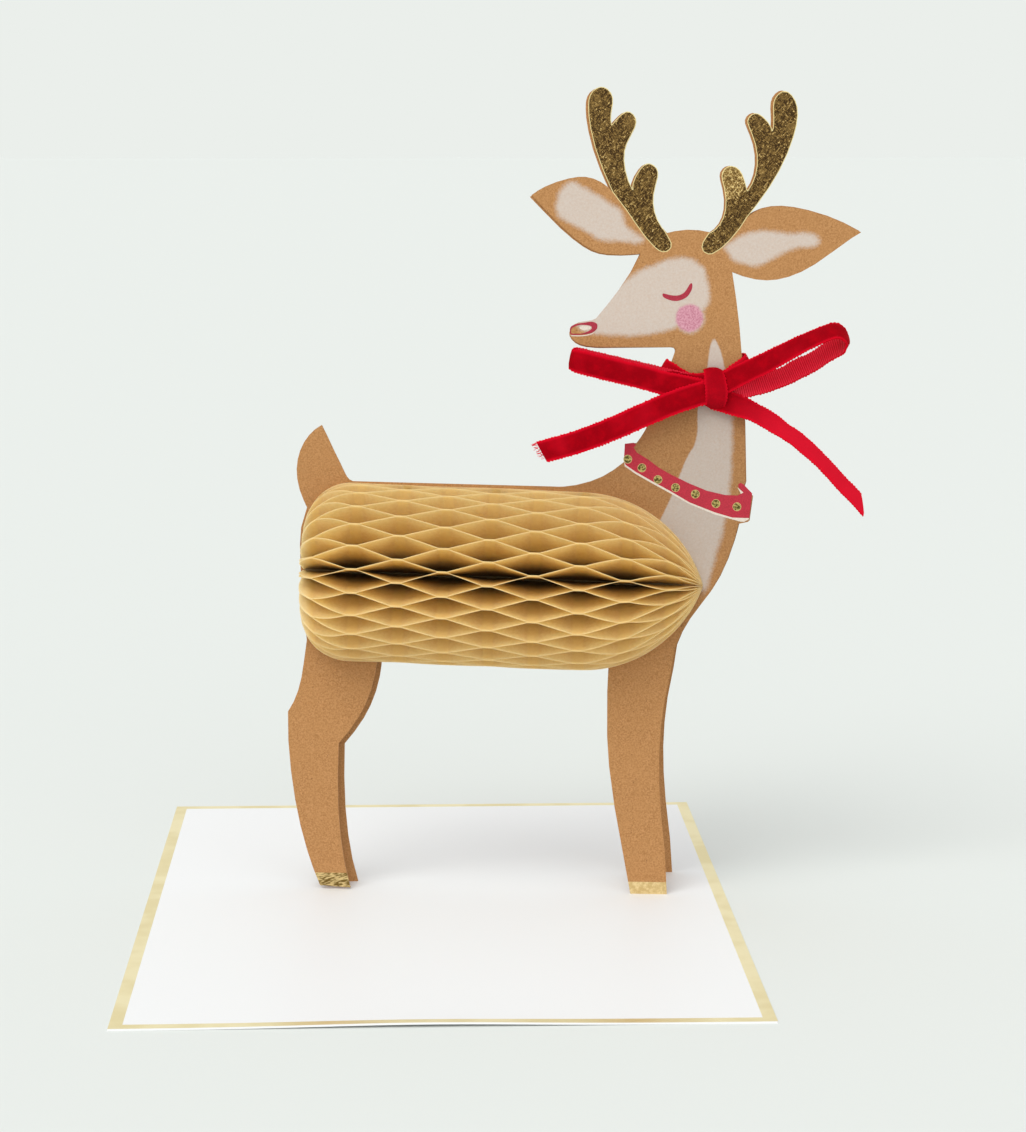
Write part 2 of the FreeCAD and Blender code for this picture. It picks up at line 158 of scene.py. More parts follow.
# Kraft boards: uncoated brown board, die-cut. The rear one keeps the shape of
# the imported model; the front one has the same shape in a finer mesh, printed
# with white and pink ink and foiled on its antlers and hooves.
FIGURE = (Matrix.Translation((14.75 * MM, 7.9 * MM, 0.5 * MM))
          @ Euler((math.radians(-3.2), 0, math.radians(-5.7))).to_matrix().to_4x4())
BOARD_GRID, BOARD_SPANS = 1.0, ((-56, 98), (-2, 217))
BREAST, SHADE_FROM, SHADE_TO, SHADE_BY = Vector((53.0, 0.0, 109.0)), 18.0, 52.0, 0.19
CHEEK, CHEEK_RADIUS, WHITE_ROUND_CHEEK = (52.2, 155.3), 3.75, 0.2
STRIPE_CRISP, CRISP_FROM, CRISP_OVER, FAR_OUTSIDE = 4.0, 134.0, 8.0, -9.0
LEFT_EAR = [(17.1, 187.6), (20.3, 191.0), (24.3, 189.5), (30.1, 186.1), (33.9, 183.3),
            (35.7, 179.2), (39.7, 176.4), (38.8, 175.0), (34.7, 175.4), (28.6, 175.8),
            (24.4, 178.2), (18.8, 181.0), (16.9, 182.9)]
RIGHT_EAR = [(61.3, 173.8), (62.5, 175.1), (65.6, 177.1), (70.6, 178.4), (75.9, 177.9),
             (78.9, 177.6), (82.2, 178.0), (84.6, 177.5), (85.9, 176.6), (86.4, 175.7),
             (85.9, 174.7), (84.0, 174.2), (81.6, 173.9), (79.1, 173.4), (75.9, 172.0),
             (70.7, 169.2), (67.5, 169.3), (63.8, 170.5), (62.5, 172.1)]
FACE = [(43.8, 169.6), (45.0, 170.2), (48.1, 171.1), (50.9, 171.3), (53.1, 170.6),
        (54.6, 169.5), (56.1, 168.0), (57.5, 161.1), (56.0, 157.4), (48.1, 152.5),
        (37.8, 150.6), (27.4, 150.9), (22.5, 153.0), (24.0, 156.0), (30.6, 161.6),
        (34.6, 164.6), (38.6, 167.6)]
STRIPE_LEFT = [(58.5, 150.4), (57.5, 146.5), (57.0, 141.7), (54.7, 131.3), (54.6, 125.6),
               (53.9, 121.8), (52.5, 119.4), (51.1, 116.5), (49.7, 112.7), (47.8, 107.7),
               (45.3, 102.4), (43.5, 99.0)]
STRIPE_RIGHT = [(56.4, 81.6), (57.6, 83.6), (59.4, 90.3), (61.0, 96.1), (62.2, 101.8),
                (63.3, 108.3), (63.9, 119.0), (63.9, 128.5), (62.8, 134.0), (61.8, 141.3),
                (61.0, 145.1), (59.8, 148.4), (58.5, 150.4)]
LEFT_ANTLER = [(31.6, 188.4), (35.3, 183.6), (37.8, 180.0), (40.3, 176.6), (42.8, 173.9),
               (44.0, 173.0), (45.1, 172.6), (46.3, 172.8), (47.2, 173.7), (47.4, 174.8),
               (46.9, 175.9), (45.7, 178.0), (47.0, 200.0), (45.0, 225.0), (15.0, 225.0),
               (20.0, 200.0)]
RIGHT_ANTLER = [(67.2, 181.9), (65.2, 178.8), (62.8, 175.9), (60.4, 173.6), (58.2, 172.2),
                (56.8, 172.1), (55.7, 172.8), (55.2, 174.1), (55.6, 175.5), (57.4, 178.2),
                (55.0, 200.0), (60.0, 225.0), (90.0, 225.0), (88.0, 200.0), (72.0, 186.4)]
CREASED_TINE = [(59.0, 185.6), (62.0, 186.3), (65.6, 187.3), (68.0, 197.0), (58.0, 198.0)]
HIND_HOOF = [(-60.0, 4.5), (-60.0, -9.0), (-30.0, -9.0), (-30.0, 4.5)]
FRONT_HOOF = [(30.0, 3.3), (30.0, -9.0), (55.0, -9.0), (55.0, 3.3)]


def kraft_tone(material, place):
    """Mottled brown fibres and a few dark shives, drawn coarser than real so that they show."""
    fibres = mottled(material, place, 0.42, 0.30, 0.70, 3.0)
    tone = tinted(material, rgb("#9E6D3B"), rgb("#BE8B57"), fibres)
    clouds = mottled(material, place, 4.0, 0.3, 0.7, 1.0)
    tone = tinted(material, tone, rgb("#B2804C"), clouds, 0.35)
    shives = mottled(material, place, 0.55, 0.735, 0.765, 1.0)
    return tinted(material, tone, rgb("#6E4626"), shives, 0.75)


def smooth(points, steps, closed=False):
    """A smooth line through the points, with that many steps between neighbours."""
    points = [Vector(p) for p in points]
    count = len(points)
    if closed:
        around = [points[-1]] + points + points[:2]
    else:
        around = [2 * points[0] - points[1]] + points + [2 * points[-1] - points[-2]]
    line = []
    for k in range(count if closed else count - 1):
        a, b, c, d = around[k:k + 4]
        for step in range(steps):
            t = step / steps
            line.append(0.5 * (2 * b + t * (c - a) + t * t * (2 * a - 5 * b + 4 * c - d)
                               + t ** 3 * (3 * b - 3 * c + d - a)))
    return line if closed else line + [points[-1]]


def nearest(points, start, end):
    """Distance from each point to the nearest of the stretches start to end."""
    along = end - start
    offset = points[:, None] - start
    share = np.clip((offset * along).sum(2) / (along ** 2).sum(1), 0, 1)
    return np.linalg.norm(offset - share[..., None] * along, axis=2).min(1)


def depth_inside(points, outline):
    """How far each point lies inside a closed outline, negative outside it."""
    start = np.array([tuple(p) for p in outline])
    end = np.roll(start, -1, axis=0)
    level = points[:, None, 1]
    rise = end[:, 1] - start[:, 1]
    crossing = start[:, 0] + (level - start[:, 1]) * (end[:, 0] - start[:, 0]) / np.where(
        rise == 0, 1.0, rise)
    passed = (start[:, 1] > level) != (end[:, 1] > level)
    inside = (passed & (points[:, None, 0] < crossing)).sum(1) % 2 == 1
    distance = nearest(points, start, end)
    return np.where(inside, distance, -distance)


def strokes(material, place, turn, wide, long):
    """Noise drawn out into short strokes, turned in the plane of the board."""
    stretched = add(material, "Mapping", {"Vector": place, "Rotation": (0, math.radians(turn), 0),
                                          "Scale": (wide * MM, wide * MM, long * MM)},
                    vector_type="TEXTURE")
    return add(material, "TexNoise", {"Vector": stretched, "Scale": 1.0, "Detail": 2.0})


def ragged(material, place, depth, size, spread, detail=3.0):
    """Depth inside an inked patch whose edge wanders by spread, in waves of that size."""
    noise = add(material, "TexNoise", {"Vector": place, "Scale": 1 / (size * MM),
                                       "Detail": detail, "Roughness": 0.6})
    wander = add(material, "Math", [noise, spread, -spread / 2], operation="MULTIPLY_ADD")
    return add(material, "Math", [depth, wander], operation="ADD")


# Uncoated kraft board: matt and dry, its brown mottled by the fibres.
kraft, shader = finish("kraft_board")
place = add(kraft, "TexCoord", out="Object")
give(kraft, shader, Base_Color=kraft_tone(kraft, place), Roughness=0.85,
     Normal=relief(kraft, place, 0.35, 0.015, 3.0))
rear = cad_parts["rear_panel"]
rear.data.materials.clear()
rear.data.materials.append(kraft)

# The printed board: inks soak in with a dry, brushed edge; foil lies on top, with painted glints,
# and a painted highlight line along its edge where the edge would catch the light.
printed, shader = finish("printed_kraft_board")
place = add(printed, "TexCoord", out="Object")
tone = kraft_tone(printed, place)
white_ink, cheek_ink, antler_foil, creased_tine, hoof_foil = (
    add(printed, "Attribute", out="Fac", attribute_name=name)
    for name in ("white_ink", "cheek_ink", "antler_foil", "creased_tine", "hoof_foil"))

depth = ragged(printed, place, white_ink, 0.45, 1.5)
depth = ragged(printed, place, depth, 2.5, 1.0, 2.0)
soaked_in = add(printed, "MapRange", [depth, -1.0, 1.1], interpolation_type="SMOOTHSTEP")
fibres = add(printed, "TexNoise", {"Vector": place, "Scale": 1 / (0.5 * MM), "Detail": 3.0,
                                   "Roughness": 0.6})
patchy = add(printed, "MapRange", [fibres, 0.3, 0.7, 0.74, 0.97])
tone = tinted(printed, tone, rgb("#CBBFB5"), soaked_in, patchy)

depth = ragged(printed, place, cheek_ink, 0.5, 1.3)
soaked_in = add(printed, "MapRange", [depth, -0.4, 0.6], interpolation_type="SMOOTHSTEP")
pink = tinted(printed, rgb("#B4687F"), rgb("#D69AAA"), mottled(printed, place, 0.4, 0.3, 0.7, 3.0))
tone = tinted(printed, tone, pink, soaked_in, 0.92)

# Painted shade: board and ink are painted a shade darker low on the neck and on the breast.
to_breast = add(printed, "VectorMath", [place, FIGURE @ (BREAST * MM)], "Value",
                operation="DISTANCE")
in_painted_shade = add(printed, "MapRange", [to_breast, SHADE_TO * MM, SHADE_FROM * MM],
                  interpolation_type="SMOOTHSTEP")
shade_factor = add(printed, "Math", [in_painted_shade, -SHADE_BY, 1.0], operation="MULTIPLY_ADD")
tone = add(printed, "VectorMath", {0: tone, "Scale": shade_factor}, operation="SCALE")

# Painted glints: the crumpled foil's light flecks, and the lighter foil of the folded-back tine, are
# painted into the antler foil's colour.
crumpled = add(printed, "TexNoise", {"Vector": place, "Scale": 1 / (0.32 * MM), "Detail": 4.0,
                                     "Roughness": 0.6})
for turn, wide, long in ((-48, 0.28, 0.8), (40, 0.3, 1.1)):
    crumpled = add(printed, "Math", [strokes(printed, place, turn, wide, long), crumpled],
                   operation="MAXIMUM")
fold_glint = add(printed, "MapRange", [creased_tine, -0.1, 0.2], interpolation_type="SMOOTHSTEP")
glint = add(printed, "Math", [fold_glint, 0.08, crumpled], operation="MULTIPLY_ADD")
foil_tone = rgb("#38260F")
for start, end, colour in ((0.53, 0.66, "#8A6C3A"), (0.66, 0.76, "#E2C788")):
    lit = add(printed, "MapRange", [glint, start, end], interpolation_type="SMOOTHSTEP")
    foil_tone = tinted(printed, foil_tone, rgb(colour), lit)
foil_tone = tinted(printed, foil_tone, rgb("#9A7B45"), mottled(printed, place, 3.0, 0.5, 0.7), 0.3)
# Painted highlight: a bright line along the antler foil's edge.
edge_highlight = add(printed, "MapRange", [antler_foil, 0.26, 0.12], interpolation_type="SMOOTHSTEP")
foil_tone = tinted(printed, foil_tone, rgb("#EFDDA2"), edge_highlight, 0.8)
on_antler = add(printed, "MapRange", [antler_foil, -0.03, 0.02], interpolation_type="SMOOTHSTEP")
tone = tinted(printed, tone, foil_tone, on_antler)

# Painted shade and highlights: the hind hoof's crinkled foil is painted in dark and light streaks
# where its wrinkles would shade and catch the light.
wrinkle_light_and_shade = add(printed, "MapRange", [strokes(printed, place, 80, 0.35, 1.6), 0.4, 0.62],
               interpolation_type="SMOOTHSTEP")
hind_tone = tinted(printed, rgb("#725A2A"), rgb("#D6BB82"), wrinkle_light_and_shade)
drift = mottled(printed, place, 0.9, 0.35, 0.7, 3.0)
front_tone = tinted(printed, rgb("#CBAE76"), rgb("#E4CC98"), drift)
lengthwise = add(printed, "SeparateXYZ", [place], 0)
front_half = add(printed, "Math", [lengthwise, 0.0], operation="GREATER_THAN")
hoof_tone = tinted(printed, hind_tone, front_tone, front_half)
on_hoof = add(printed, "MapRange", [hoof_foil, -0.05, 0.05], interpolation_type="SMOOTHSTEP")
tone = tinted(printed, tone, hoof_tone, on_hoof)

foiled = add(printed, "Math", [on_antler, on_hoof], operation="MAXIMUM")
fibres = add(printed, "TexNoise", {"Vector": place, "Scale": 1 / (0.35 * MM), "Detail": 3.0,
                                   "Roughness": 0.6})
height = add(printed, "Math", [crumpled, on_antler, fibres], operation="MULTIPLY_ADD")
give(printed, shader, Base_Color=tone,
     Metallic=add(printed, "Math", [foiled, 0.85], operation="MULTIPLY"),
     Roughness=add(printed, "MapRange", {0: foiled, 3: 0.85, 4: 0.42}),
     Normal=add(printed, "Bump", {"Height": height, "Distance": 0.015 * MM, "Strength": 1.0}))

board = bpy.data.objects.new("front_board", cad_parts["front_panel"].data.copy())
bpy.context.scene.collection.objects.link(board)
bpy.context.view_layer.objects.active = board
board.select_set(True)
bpy.ops.mesh.customdata_custom_splitnormals_clear()
to_board = (FIGURE @ Matrix.Scale(MM, 4)).inverted()
board.data.transform(to_board)
shape = bmesh.new()
shape.from_mesh(board.data)
bmesh.ops.remove_doubles(shape, verts=shape.verts, dist=0.001)
bmesh.ops.recalc_face_normals(shape, faces=shape.faces)
front = [f for f in shape.faces if f.normal.y < -0.9]
cut = list({v for f in front for v in f.verts}) + list({e for f in front for e in f.edges}) + front
for normal, (start, stop) in zip((Vector((1, 0, 0)), Vector((0, 0, 1))), BOARD_SPANS):
    for step in range(int((stop - start) / BOARD_GRID)):
        cut = bmesh.ops.bisect_plane(shape, geom=cut, dist=1e-5,
                                     plane_co=normal * (start + step * BOARD_GRID),
                                     plane_no=normal)["geom"]
front = {f for f in shape.faces if f.normal.y < -0.9}
shape.verts.index_update()
rim = [e for e in shape.edges if sum(f in front for f in e.link_faces) == 1]
rim_start = np.array([e.verts[0].co.xz for e in rim])
rim_end = np.array([e.verts[1].co.xz for e in rim])
on_front = [v for v in shape.verts if any(f in front for f in v.link_faces)]
flat = np.array([v.co.xz for v in on_front])
to_rim = np.concatenate([nearest(part, rim_start, rim_end) for part in np.array_split(flat, 20)])
cheek = CHEEK_RADIUS - np.linalg.norm(flat - np.array(CHEEK), axis=1)
stripe_left, stripe_right = (np.array([tuple(p) for p in smooth(side, 4)])
                             for side in (STRIPE_LEFT, STRIPE_RIGHT))
# The stripe's left edge, and its right edge on the upper neck, are crisp: a
# millimetre there counts for several, so that the brushing hardly moves them.
to_left, to_right = (nearest(flat, side[:-1], side[1:]) for side in (stripe_left, stripe_right))
upper_crisp = 1 + (STRIPE_CRISP - 1) * np.clip((flat[:, 1] - CRISP_FROM) / CRISP_OVER, 0, 1)
stripe = np.sign(depth_inside(flat, [*stripe_left, *stripe_right[:-1]])) * np.minimum(
    STRIPE_CRISP * to_left, upper_crisp * to_right)
brushed_patches = [depth_inside(flat, smooth(outline, 4, True))
                   for outline in (LEFT_EAR, RIGHT_EAR, FACE)]
white = np.max([stripe, cheek + WHITE_ROUND_CHEEK, *brushed_patches], axis=0)
tine = depth_inside(flat, CREASED_TINE)
antlers = np.max([depth_inside(flat, outline) for outline in (LEFT_ANTLER, RIGHT_ANTLER)], axis=0)
hooves = np.max([depth_inside(flat, outline) for outline in (HIND_HOOF, FRONT_HOOF)], axis=0)
indices = [v.index for v in on_front]
count = len(shape.verts)
shape.to_mesh(board.data)
shape.free()
for name, depths in (("white_ink", white), ("cheek_ink", cheek),
                     ("antler_foil", np.minimum(antlers, to_rim)), ("hoof_foil", hooves),
                     ("creased_tine", tine)):
    values = np.full(count, FAR_OUTSIDE)
    values[indices] = depths
    layer = board.data.attributes.new(name, "FLOAT", "POINT")
    layer.data.foreach_set("value", values)
board.data.transform(to_board.inverted())
board.data.materials.clear()
board.data.materials.append(printed)
for polygon in board.data.polygons:
    polygon.use_smooth = False
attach(board, "root")
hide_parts("front_panel")


# Collar, its foil dots, the eye and the nose: inks and foil printed on the
# board's picture side, each a film a few hundredths of a millimetre thick.
COLLAR = [(35.3, 121.8), (37.7, 122.1), (38.3, 121.5), (37.7, 120.8), (38.5, 119.5),
          (41.6, 117.6), (44.4, 115.5), (47.8, 113.6), (52.6, 111.3), (57.3, 109.4),
          (62.1, 108.3), (65.4, 108.2), (67.0, 109.0), (65.6, 110.4), (65.6, 111.2),
          (66.2, 111.6), (67.0, 111.2), (69.3, 108.8), (68.6, 102.2), (64.1, 102.3),
          (59.3, 103.7), (52.6, 106.3), (47.8, 109.1), (42.6, 111.9), (38.3, 114.3),
          (35.5, 116.2), (35.1, 117.8)]
COLLAR_UNDERPRINT = [(65.4, 110.35), (66.9, 109.1), (68.6, 103.0), (68.5, 101.9), (67.3, 101.2),
                     (66.4, 101.2), (64.1, 101.8), (59.3, 103.1), (52.6, 105.8), (47.8, 108.5),
                     (42.6, 111.3), (38.3, 113.7), (35.3, 115.8), (35.1, 118.0), (42.6, 113.5),
                     (52.6, 109.0), (62.0, 106.0), (66.3, 107.6), (66.2, 108.95)]
DOTS = [(36.1, 117.7), (39.9, 115.4), (44.2, 112.3), (48.9, 110.2), (54.2, 108.5),
        (59.7, 106.0), (65.3, 105.2)]
DOT_RADIUS, DOT_RIM, DOT_SIDES = 1.15, 0.12, 40
UNDERPRINT, INKED, RIM_FOIL, DOT_FOIL, OFF_BOARD = 0.03, 0.06, 0.08, 0.10, 0.002
EYE = [(45.2, 161.75), (47.2, 161.3), (49.1, 161.25), (50.6, 161.9), (51.5, 163.0), (52.2, 164.2),
       (52.7, 164.5), (52.9, 163.7), (52.55, 162.4), (51.5, 160.9), (49.8, 160.0),
       (48.1, 159.8), (46.3, 160.25), (45.2, 160.9)]
NOSE_OUTER = [(20.9, 150.75), (22.4, 150.7), (23.8, 150.8), (26.1, 151.2), (27.4, 152.0),
              (27.8, 153.0), (27.5, 153.8), (26.2, 154.2), (24.6, 154.0), (22.7, 153.7),
              (21.2, 153.2), (20.55, 152.5), (20.5, 151.4)]
NOSE_INNER = [(21.1, 151.05), (22.4, 151.0), (23.6, 151.05), (25.2, 151.6), (26.2, 152.3),
              (26.2, 152.9), (25.6, 153.2), (24.4, 153.35), (23.3, 153.35), (22.2, 153.1),
              (21.3, 152.7), (20.8, 152.1), (20.75, 151.4)]
NOSE_LIGHT = [(23.0, 152.7), (24.0, 153.1), (25.3, 153.1), (26.1, 152.7), (25.6, 152.2),
              (24.6, 151.9), (23.7, 152.0)]
NOSE_UNDERLINE = [(20.9, 150.6), (23.8, 150.6), (26.0, 151.0), (27.3, 151.7), (26.1, 150.8),
                  (23.8, 150.35), (21.1, 150.35)]


def film(name, outline, top, material):
    """A printed film with that outline, its face that far in front of the board."""
    bpy.ops.mesh.primitive_circle_add(vertices=len(outline), fill_type="NGON")
    piece = bpy.context.object
    piece.name = name
    for vertex, point in zip(piece.data.vertices, outline):
        vertex.co = FIGURE @ (Vector((point[0], -top, point[1])) * MM)
    piece.data.update()
    bpy.ops.object.mode_set(mode="EDIT")
    bpy.ops.mesh.select_all(action="SELECT")
    away = FIGURE.to_3x3() @ Vector((0, (top - OFF_BOARD) * MM, 0))
    bpy.ops.mesh.extrude_region_move(TRANSFORM_OT_translate={"value": away})
    bpy.ops.mesh.select_all(action="SELECT")
    bpy.ops.mesh.normals_make_consistent(inside=False)
    bpy.ops.object.mode_set(mode="OBJECT")
    piece.data.materials.append(material)
    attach(piece, "root")
    return piece


def ink(name, light, dark):
    """Matt ink on board, with a fine speckle where fibres show through."""
    material, shader = finish(name)
    place = add(material, "TexCoord", out="Object")
    speckle = mottled(material, place, 0.28, 0.3, 0.72, 3.0)
    give(material, shader, Base_Color=tinted(material, rgb(dark), rgb(light), speckle),
         Roughness=0.7, Normal=relief(material, place, 0.3, 0.01, 3.0))
    return material


collar_red = ink("collar_red_ink", "#BC2139", "#A0132A")
wine_red = ink("wine_red_ink", "#B4243E", "#8E152B")
white_line = ink("white_underprint", "#E2D8CC", "#D0C2B2")
film("collar_underprint", COLLAR_UNDERPRINT, UNDERPRINT, white_line)
film("collar", COLLAR, INKED, collar_red)
film("nose_light", smooth(NOSE_LIGHT, 4, True), UNDERPRINT, white_line)
film("nose_underline", smooth(NOSE_UNDERLINE, 4, True), UNDERPRINT, white_line)
film("eye", smooth(EYE, 6, True), INKED, wine_red)
outer, inner = smooth(NOSE_OUTER, 6, True), smooth(NOSE_INNER, 6, True)
film("nose", outer + outer[:1] + inner[:1] + inner[::-1], INKED, wine_red)

# Stamped foil: a dot's worn middle is speckled; its pressed rim is painted brighter, a painted
# highlight along the pressed edge.
dot_foil, shader = finish("collar_dot_foil")
place = add(dot_foil, "TexCoord", out="Object")
spots = mottled(dot_foil, place, 0.6, 0.42, 0.6)
give(dot_foil, shader, Base_Color=tinted(dot_foil, rgb("#4E451E"), rgb("#B5A361"), spots),
     Metallic=0.8, Roughness=0.4, Normal=relief(dot_foil, place, 0.4, 0.02))
rim_highlight_foil, shader = finish("dot_rim_foil")
place = add(rim_highlight_foil, "TexCoord", out="Object")
drift = add(rim_highlight_foil, "TexNoise", {"Vector": place, "Scale": 1 / (0.3 * MM), "Roughness": 0.6})
give(rim_highlight_foil, shader, Base_Color=tinted(rim_highlight_foil, rgb("#BFA565"), rgb("#D6C48A"), drift),
     Metallic=0.6, Roughness=0.4)
for number, (u, w) in enumerate(DOTS, start=1):
    for radius, top, name, material in ((DOT_RADIUS, RIM_FOIL, "dot_rim", rim_highlight_foil),
                                        (DOT_RADIUS - DOT_RIM, DOT_FOIL, "dot", dot_foil)):
        turns = [math.tau * k / DOT_SIDES for k in range(DOT_SIDES)]
        around = [(u + radius * math.cos(turn), w + radius * math.sin(turn)) for turn in turns]
        film(f"{name}_{number}", around, top, material)


# Honeycomb body: a pad of thin tissue sheets, glued to each other along
# staggered lines and fanned open, so that the lines open into cells.
PAD = FIGURE @ Matrix.Translation((-50.7 * MM, 0, 87.2 * MM)) @ Matrix.Rotation(
    math.radians(1.8), 4, "Y")
PAD_LENGTH, PAD_RADIUS, RUMP, NOSE_END = 107.3, 24.0, 12.3, 33.0
GLUE_PITCH, GLUE_WIDE, FIRST_GLUE = 11.95, 2.7, 3.2
FAN_STEP, FAN_END, SHEETS = 7.5, 89.6, 26
TISSUE, CORE, HALF_SEAM = 0.15, 3.1, 0.13
SLIP, RUFFLE, GLUED_TO, GLUE_SEEPS_TO = 0.4, 0.12, 1.1, 1.5
AROUND_GLUE = (-1.75, -1.35, -1.0, 0.0, 1.0, 1.35, 1.75, 2.5, 3.7, 4.9, 6.0, 7.1, 8.2, 9.4)
NEAR_ENDS = (0.25, 0.8, PAD_LENGTH - 1.3, PAD_LENGTH - 0.7)
RUMP_LIGHT_FROM, RUMP_LIGHT_TO = -32.5, -35.0
SPINE_RADIUS, SPINE_START, SPINE_END = 3.2, 0.3, PAD_LENGTH - 5.7
OGIVE = (NOSE_END ** 2 + PAD_RADIUS ** 2) / (2 * PAD_RADIUS)
slips = random.Random(7)
slip = {(line, pair): slips.uniform(-SLIP, SLIP) for line in range(-2, 12)
        for pair in range(-15, 16)}


def rim_radius(x):
    """Height of a sheet's rim over the middle line: round at the rump, pointed at the breast."""
    if x < RUMP:
        return PAD_RADIUS - RUMP + math.sqrt(max(0.0, RUMP ** 2 - (RUMP - x) ** 2))
    if x > PAD_LENGTH - NOSE_END:
        return PAD_RADIUS - OGIVE + math.sqrt(OGIVE ** 2 - (x - PAD_LENGTH + NOSE_END) ** 2)
    return PAD_RADIUS


def fan_angle(sheet, x, r):
    """Degrees above the middle of the fan at which a sheet stands there."""
    half_gap = math.degrees(HALF_SEAM / max(r, 1.0))
    line = math.floor((x - FIRST_GLUE) / GLUE_PITCH)
    share = (x - FIRST_GLUE) / GLUE_PITCH - line
    flat = GLUE_WIDE / 2 / GLUE_PITCH
    share = min(max((share - flat) / (1 - 2 * flat), 0.0), 1.0)
    ends = []
    for glue in (line, line + 1):
        side = 1 if (glue + sheet) % 2 else -1
        pair = sheet + (1 if side > 0 else 0)
        loose = abs(pair) < SHEETS // 2 - 1
        ends.append(pair * FAN_STEP + slip[glue, pair] * loose - side * half_gap)
    return min(max(ends[0] + share * (ends[1] - ends[0]), -FAN_END), FAN_END)


columns = sorted({round(min(max(x, 0.0), PAD_LENGTH - 0.15), 3) for x in (
    *NEAR_ENDS, *(FIRST_GLUE + GLUE_PITCH * line + step
                  for line in range(-1, 10) for step in AROUND_GLUE))})
rows = [0.0, 0.2, 0.4, 0.6, 0.8, 0.93, 1.0]
pad_sheets = []
for number in range(SHEETS):
    sheet = number - SHEETS // 2
    bpy.ops.mesh.primitive_grid_add(x_subdivisions=len(columns) - 1, y_subdivisions=len(rows) - 1)
    piece = bpy.context.object
    to_edge = piece.data.attributes.new("to_edge", "FLOAT", "POINT")
    glued = piece.data.attributes.new("glued", "FLOAT", "POINT")
    ruffle = [slips.uniform(-RUFFLE, RUFFLE) for _ in range(4)]
    for k, vertex in enumerate(piece.data.vertices):
        x = columns[k % len(columns)]
        radius = rim_radius(x) + ruffle[0] * math.sin(x / 7 + 6 * ruffle[1])
        inner_radius = min(CORE, 0.5 * radius)
        r = inner_radius + rows[k // len(columns)] * (radius - inner_radius)
        angle = math.radians(fan_angle(sheet, x, r))
        vertex.co = PAD @ (Vector((x, -r * math.cos(angle), r * math.sin(angle))) * MM)
        to_edge.data[k].value = radius - r
        to_glue = abs((x - FIRST_GLUE + GLUE_PITCH / 2) % GLUE_PITCH - GLUE_PITCH / 2)
        glued.data[k].value = 1.0 if to_glue < GLUED_TO else 0.8 if to_glue < GLUE_SEEPS_TO else 0.0
    pad_sheets.append(piece)
bpy.ops.object.select_all(action="DESELECT")
for piece in pad_sheets:
    piece.select_set(True)
bpy.context.view_layer.objects.active = pad_sheets[0]
bpy.ops.object.join()
pad = bpy.context.object
pad.name = "honeycomb_sheets"
thicken = pad.modifiers.new("tissue", "SOLIDIFY")
thicken.thickness = TISSUE * MM
thicken.offset = 0.0
bpy.ops.object.modifier_apply(modifier=thicken.name)
bpy.ops.object.shade_smooth_by_angle(angle=math.radians(50))

# Thin matt tissue: light shines through it, so that the cells glow. The cells' depths get painted
# shade in brown; the cut edges and the outermost rump get painted highlights, paler.
tissue, shader = finish("honeycomb_tissue")
place = add(tissue, "TexCoord", out="Object")
to_edge = add(tissue, "Attribute", out="Fac", attribute_name="to_edge")
glued = add(tissue, "Attribute", out="Fac", attribute_name="glued")
fibres = mottled(tissue, place, 0.8, 0.3, 0.7, 3.0)
tone = tinted(tissue, rgb("#F6E4B0"), rgb("#FCECBE"), fibres)
tone = tinted(tissue, tone, rgb("#FFF2BE"), glued, 0.5)
# Painted highlight: the sheets' cut edges are painted paler.
rim = add(tissue, "MapRange", [to_edge, 0.6, 0.1], interpolation_type="SMOOTHSTEP")
tone = tinted(tissue, tone, rgb("#FFF3D4"), rim, 0.45)
# Painted highlight: the outermost sheets at the rump are painted paler.
lengthwise = add(tissue, "SeparateXYZ", [place], 0)
rump_highlight = add(tissue, "MapRange", [lengthwise, RUMP_LIGHT_FROM * MM, RUMP_LIGHT_TO * MM],
              interpolation_type="SMOOTHSTEP")
tone = tinted(tissue, tone, rgb("#FFF8E2"), rump_highlight, 0.6)
# Painted shade: the cells' depths are painted brown.
depth_shade = add(tissue, "MapRange", [to_edge, 8.0, 19.0], interpolation_type="SMOOTHSTEP")
tone = tinted(tissue, tone, rgb("#7E4A16"), depth_shade, 0.45)
give(tissue, shader, Base_Color=tone, Roughness=0.8, Normal=relief(tissue, place, 1.2, 0.03, 3.0))
glow = add(tissue, "BsdfTranslucent", {"Color": tone})
both = add(tissue, "MixShader", [0.68, shader.outputs[0], glow])
tissue.node_tree.links.new(both, tissue.node_tree.nodes["Material Output"].inputs["Surface"])
pad.data.materials.append(tissue)
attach(pad, "root")
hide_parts("honeycomb_body")

# The glued inner edges of the sheets, at the bottom of the cells.
bpy.ops.mesh.primitive_cylinder_add(vertices=32, radius=1, depth=1)
spine = bpy.context.object
spine.name = "honeycomb_spine"
for vertex in spine.data.vertices:
    x = SPINE_START + (vertex.co.z + 0.5) * (SPINE_END - SPINE_START)
    out, rise = SPINE_RADIUS * vertex.co.x, SPINE_RADIUS * vertex.co.y
    vertex.co = PAD @ (Vector((x, -max(0.02, out), rise)) * MM)
# The spine takes the cells' painted depth shade in full.
to_edge = spine.data.attributes.new("to_edge", "FLOAT", "POINT")
to_edge.data.foreach_set("value", [PAD_RADIUS - SPINE_RADIUS] * len(spine.data.vertices))
spine.data.update()
spine.data.materials.append(tissue)
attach(spine, "root")


